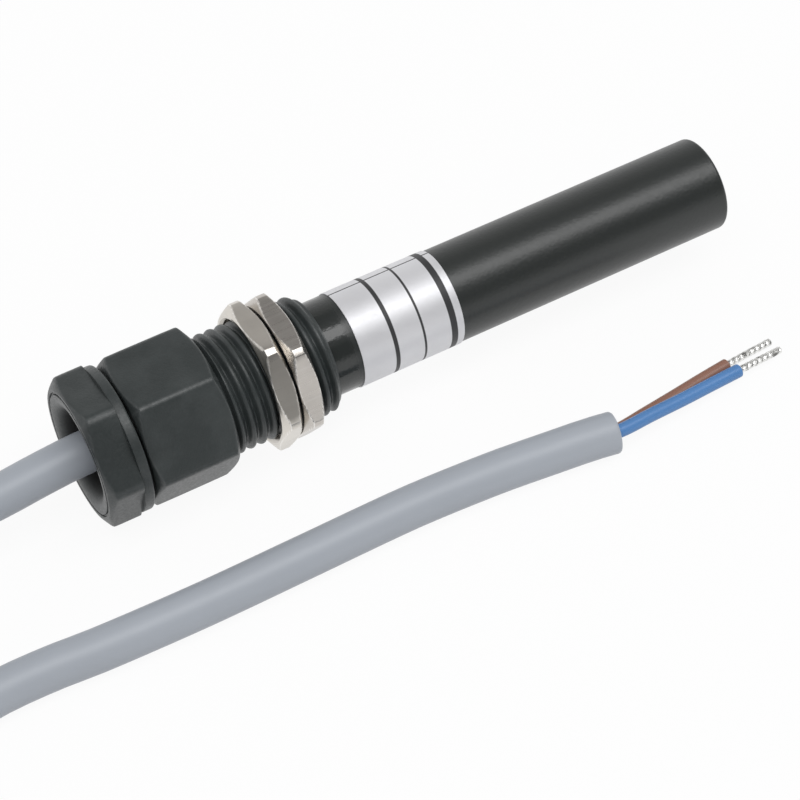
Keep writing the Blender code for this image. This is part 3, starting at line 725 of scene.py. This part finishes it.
def nut_rings(start, turn):
    """Chamfered flats outside and the mating thread inside, drawn as one closed skin."""
    reach = nut_reach(turn)
    fall = (NUT_TOP + 0.12 - NUT_FACE_R) * CHAMFER_SLOPE
    end = start + NUT_THICKNESS

    def limited(cone):
        return lambda a: soft_least(cone, reach(a), 0.05)

    def worn(cone):
        return lambda a: 0.9 * math.exp(-((cone - reach(a)) / 0.07) ** 2)

    rings = []
    steps = 10
    for k in range(steps + 1):
        s = fall * k / steps
        cone = NUT_FACE_R + s / CHAMFER_SLOPE
        rings.append((start + s, limited(cone), worn(cone)))
    rings.append(((start + end) / 2, limited(NUT_TOP + 3)))
    for k in range(steps, -1, -1):
        s = fall * k / steps
        cone = NUT_FACE_R + s / CHAMFER_SLOPE
        rings.append((end - s, limited(cone), worn(cone)))
    rings.append((end, 8.1))
    inner = 24
    for k in range(inner + 1):
        x = end - NUT_THICKNESS * k / inner
        lead_in = max(0.0, 1 - min(x - start, end - x) / 0.3) * 0.35

        def bore(a, x=x, lead_in=lead_in):
            phase = (x - THREAD_CREST) / THREAD_PITCH - a / math.tau
            return NUT_BORE_R + 0.08 * (0.5 + 0.5 * math.cos(math.tau * phase)) + lead_in
        rings.append((x, bore))
    rings.append((start, 8.15))
    return rings


nut_finishes = {"lock_nut_a": nickel_plate("nickel_plate_a", (0.72, 0.685, 0.63), 0.06, 0.0000004, 0.0),
                "lock_nut_b": nickel_plate("nickel_plate_b", (0.64, 0.605, 0.565), 0.3, 0.000006, 3.0)}
for name, node, body, start, turn in NUT_PLACES:
    nut = turned_piece(name, nut_rings(start, turn), nut_angles(turn), sharp=18)
    dress(nut, nut_finishes[name], "nickel_plate", body, node)


# Tube. Thin-walled black polyamide tube, closed and lightly rounded at the sensing end, satin from
# handling, with a glossy band of set adhesive where it leaves the gland.
TUBE_R = 6.0
TUBE_BORE_R = 5.0
TUBE_START, TUBE_END = 18.0, 86.5
TUBE_FLOOR = 84.9
TUBE_EDGE = 0.4
AXIS_GAP = 0.02                        # the end faces stop this far from the axis
GLUE_START, GLUE_END = 33.6, 34.4      # the glossy adhesive fades out here


def tube_material():
    """Satin black tube, glossier between gland and label, where the adhesive has wetted it."""
    made = plastic("tube_black", (0.019, 0.022, 0.021), 0.34, drift=0.2, gloss_drift=0.12, grain=2600.0,
                   depth=0.00002, specular=0.6)
    nodes, links = made.node_tree.nodes, made.node_tree.links
    shader = nodes["Principled BSDF"]
    skin = next(n for n in nodes if n.type == "GROUP")
    place = nodes.new("ShaderNodeTexCoord").outputs["Object"]
    split = nodes.new("ShaderNodeSeparateXYZ")
    links.new(place, split.inputs[0])
    wet = map_range(nodes, links, split.outputs["X"], (GLUE_START - HALF_LENGTH) * MM,
                    (GLUE_END - HALF_LENGTH) * MM, 1.0, 0.0)
    rough = mix_colour(nodes, links, wet, skin.outputs["Roughness"], (0.13, 0.13, 0.13))
    links.new(rough, shader.inputs["Roughness"])
    return made


tube_rings = [(TUBE_FLOOR, AXIS_GAP), (TUBE_FLOOR, TUBE_BORE_R - 0.1), (TUBE_FLOOR - 0.1, TUBE_BORE_R),
              (60.0, TUBE_BORE_R), (TUBE_START + 0.1, TUBE_BORE_R), (TUBE_START, TUBE_BORE_R + 0.1),
              (TUBE_START, TUBE_R - 0.1), (TUBE_START + 0.1, TUBE_R), (33.0, TUBE_R), (60.0, TUBE_R),
              (TUBE_END - 0.5, TUBE_R)]
tube_rings += arc((TUBE_END - TUBE_EDGE, TUBE_R), (TUBE_END, TUBE_R - TUBE_EDGE),
                  (TUBE_END - TUBE_EDGE, TUBE_R - TUBE_EDGE), 6)
tube_rings += [(TUBE_END, TUBE_BORE_R), (TUBE_END, TUBE_BORE_R / 2), (TUBE_END, AXIS_GAP)]
round_angles = [math.tau * i / 96 for i in range(96)]
tube = turned_piece("tube", tube_rings, round_angles)
dress(tube, tube_material(), "black_tube", "sensor", "sensor_tube")


# Rating label. Silver polyester foil, wrapped once round the tube and held by its own adhesive.
# Black rules printed across it and along its edge divide it into fields.
LABEL_START, LABEL_END = 34.8, 48.5
LABEL_R = 6.13
CROSS_RULES = ((39.35, 0.55), (43.15, 0.3), (47.15, 0.85))     # station and width
LONG_RULE = 2.59            # distance of the lengthwise rule from the middle of the top


def label_material():
    """Satin silver film with printed rules across the tube and one along it."""
    made = bpy.data.materials.new("label_foil")
    made.use_nodes = True
    nodes, links = made.node_tree.nodes, made.node_tree.links
    shader = nodes["Principled BSDF"]
    place = nodes.new("ShaderNodeTexCoord").outputs["Object"]
    split = nodes.new("ShaderNodeSeparateXYZ")
    links.new(place, split.inputs[0])
    ink = None
    for middle, width in CROSS_RULES:
        off = math_node(nodes, links, "ABSOLUTE",
                        math_node(nodes, links, "SUBTRACT", split.outputs["X"], (middle - HALF_LENGTH) * MM))
        line = map_range(nodes, links, off, (width / 2 - 0.03) * MM, (width / 2 + 0.03) * MM, 1.0, 0.0)
        ink = line if ink is None else math_node(nodes, links, "MAXIMUM", ink, line)
    beside = math_node(nodes, links, "ABSOLUTE",
                       math_node(nodes, links, "SUBTRACT", split.outputs["Y"], LONG_RULE * MM))
    along = map_range(nodes, links, beside, 0.09 * MM, 0.13 * MM, 1.0, 0.0)
    upper = math_node(nodes, links, "GREATER_THAN", split.outputs["Z"], 4.5 * MM)
    ink = math_node(nodes, links, "MAXIMUM", ink, math_node(nodes, links, "MULTIPLY", along, upper))
    grain = noise(nodes, links, place, 3000.0, 2.0)
    clouds = noise(nodes, links, place, 120.0, 3.0)
    silver = mix_colour(nodes, links, map_range(nodes, links, clouds.outputs["Fac"], 0.3, 0.7, 0.0, 1.0),
                        (0.76, 0.76, 0.78), (0.70, 0.70, 0.72))
    links.new(mix_colour(nodes, links, ink, silver, (0.03, 0.03, 0.032)), shader.inputs["Base Color"])
    links.new(math_node(nodes, links, "MULTIPLY_ADD", ink, -0.5, 0.5), shader.inputs["Metallic"])
    links.new(map_range(nodes, links, grain.outputs["Fac"], 0.3, 0.7, 0.42, 0.52), shader.inputs["Roughness"])
    bump = nodes.new("ShaderNodeBump")
    bump.inputs["Distance"].default_value = 0.000004
    links.new(grain.outputs["Fac"], bump.inputs["Height"])
    links.new(bump.outputs["Normal"], shader.inputs["Normal"])
    return made


label_rings = [(LABEL_START, LABEL_R - 0.11), (LABEL_START, LABEL_R - 0.03), (LABEL_START + 0.04, LABEL_R),
               (41.0, LABEL_R), (LABEL_END - 0.04, LABEL_R), (LABEL_END, LABEL_R - 0.03),
               (LABEL_END, LABEL_R - 0.11)]
label = turned_piece("label", label_rings, round_angles)
dress(label, label_material(), "silver_foil", "sensor", "rating_label")


# Inside of the sensor. A glass reed capsule soldered to a laminate strip, its cores let in through resin,
# and the gland's ring and rubber seal; all of it is hidden in use.
def hidden_finishes():
    """Finishes of the parts that the outer pieces cover."""
    finishes = {
        "thrust_ring": plastic("ring_plastic", (0.55, 0.54, 0.5), 0.5),
        "seal_ring": plastic("seal_rubber_black", (0.02, 0.02, 0.02), 0.75),
        "carrier_board": plastic("board_green", (0.05, 0.19, 0.09), 0.45),
        "potting_plug": plastic("resin_dark", (0.04, 0.04, 0.045), 0.25),
        "inner_core_brown": brown_pvc,
        "inner_core_blue": blue_pvc,
    }
    for node, finish in finishes.items():
        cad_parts[node].material_slots[0].material = finish
    for node in ("solder_reed_near", "solder_reed_far", "reed_blade_near", "reed_blade_far"):
        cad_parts[node].material_slots[0].material = tinned
    glass = bpy.data.materials.new("capsule_glass")
    glass.use_nodes = True
    nodes, links = glass.node_tree.nodes, glass.node_tree.links
    shader = nodes["Principled BSDF"]
    shader.inputs["Transmission Weight"].default_value = 1.0
    shader.inputs["IOR"].default_value = 1.5
    place = nodes.new("ShaderNodeTexCoord").outputs["Object"]
    streaks = noise(nodes, links, place, 400.0, 2.0)
    links.new(mix_colour(nodes, links, streaks.outputs["Fac"], (0.8, 0.95, 0.88), (0.9, 0.98, 0.94)),
              shader.inputs["Base Color"])
    links.new(map_range(nodes, links, streaks.outputs["Fac"], 0.3, 0.7, 0.02, 0.08),
              shader.inputs["Roughness"])
    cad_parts["reed_glass"].material_slots[0].material = glass


hidden_finishes()


# Table and light. A white sheet under the sensor, lit by one long softbox overhead, between pale walls
# that the metal and the glossy plastic mirror.
def studio():
    """Sheet, softbox and the surroundings that are mirrored."""
    floor_mesh = bpy.data.meshes.new("floor")
    floor_mesh.from_pydata([(-3, -3, 0), (3, -3, 0), (3, 3, 0), (-3, 3, 0)], [], [(0, 1, 2, 3)])
    floor = bpy.data.objects.new("floor", floor_mesh)
    bpy.context.collection.objects.link(floor)
    floor.location = (0, 0, -0.0001)
    paper = bpy.data.materials.new("white_table")
    paper.use_nodes = True
    nodes, links = paper.node_tree.nodes, paper.node_tree.links
    shader = nodes["Principled BSDF"]
    shader.inputs["Base Color"].default_value = (0.82, 0.82, 0.82, 1)
    shader.inputs["Roughness"].default_value = 0.9
    shader.inputs["Specular IOR Level"].default_value = 0.1
    glow = nodes.new("ShaderNodeEmission")
    glow.inputs["Color"].default_value = (1, 1, 1, 1)
    glow.inputs["Strength"].default_value = 1.0
    mixed = nodes.new("ShaderNodeMixShader")
    path = nodes.new("ShaderNodeLightPath")
    mirrored = math_node(nodes, links, "MULTIPLY", path.outputs["Is Glossy Ray"], 0.9)
    seen = math_node(nodes, links, "MULTIPLY_ADD", path.outputs["Is Camera Ray"], 0.93, mirrored)
    links.new(seen, mixed.inputs[0])
    links.new(shader.outputs[0], mixed.inputs[1])
    links.new(glow.outputs[0], mixed.inputs[2])
    links.new(mixed.outputs[0], nodes["Material Output"].inputs["Surface"])
    floor_mesh.materials.append(paper)

    lamp_data = bpy.data.lights.new("softbox", "AREA")
    lamp_data.shape = "RECTANGLE"
    lamp_data.size = 1.5
    lamp_data.size_y = 0.46
    lamp_data.energy = 6.5
    lamp = bpy.data.objects.new("softbox", lamp_data)
    bpy.context.collection.objects.link(lamp)
    direction = Vector((0.2, -0.27, 0.93)).normalized()
    lamp.location = direction
    lamp.rotation_mode = "QUATERNION"
    across = Vector((0, direction.z, -direction.y)).normalized()
    outward = Vector((0, direction.y, direction.z)).normalized()
    lamp.rotation_quaternion = Matrix((Vector((1, 0, 0)), across, outward)).transposed().to_quaternion()

    world = bpy.data.worlds.new("studio")
    bpy.context.scene.world = world
    world.use_nodes = True
    nodes, links = world.node_tree.nodes, world.node_tree.links
    background = nodes["Background"]
    way = nodes.new("ShaderNodeTexCoord").outputs["Generated"]
    split = nodes.new("ShaderNodeSeparateXYZ")
    links.new(way, split.inputs[0])

    def ramp(stops):
        made = nodes.new("ShaderNodeValToRGB")
        for element, (place, colour) in zip(made.color_ramp.elements, (stops[0], stops[-1])):
            element.position = place
            element.color = (*colour, 1)
        for place, colour in stops[1:-1]:
            made.color_ramp.elements.new(place).color = (*colour, 1)
        links.new(split.outputs["Z"], made.inputs["Fac"])
        return made.outputs["Color"]

    def grey(value, warm=1.0):
        return (value, value * warm, value * warm * warm)

    front = ramp([(0.0, grey(0.9)), (0.08, grey(0.85)), (0.22, grey(0.16)), (0.62, grey(0.13)),
                  (0.85, grey(0.5)), (1.0, grey(0.7))])
    back = ramp([(0.0, grey(0.95)), (0.3, grey(0.75)), (0.68, grey(0.46, 0.98)), (0.8, grey(0.2)),
                 (0.93, grey(0.3)), (1.0, grey(0.7))])
    side = map_range(nodes, links, split.outputs["Y"], -0.12, 0.12, 0.0, 1.0, True)
    walls = mix_colour(nodes, links, side, front, back)
    path = nodes.new("ShaderNodeLightPath")
    even = mix_colour(nodes, links, path.outputs["Is Diffuse Ray"], walls, (0.55, 0.55, 0.56))
    shown = mix_colour(nodes, links, path.outputs["Is Camera Ray"], even, (1.0, 1.0, 1.0))
    links.new(shown, background.inputs["Color"])
    background.inputs["Strength"].default_value = 1.0
    bpy.context.scene.view_settings.view_transform = "Standard"


studio()
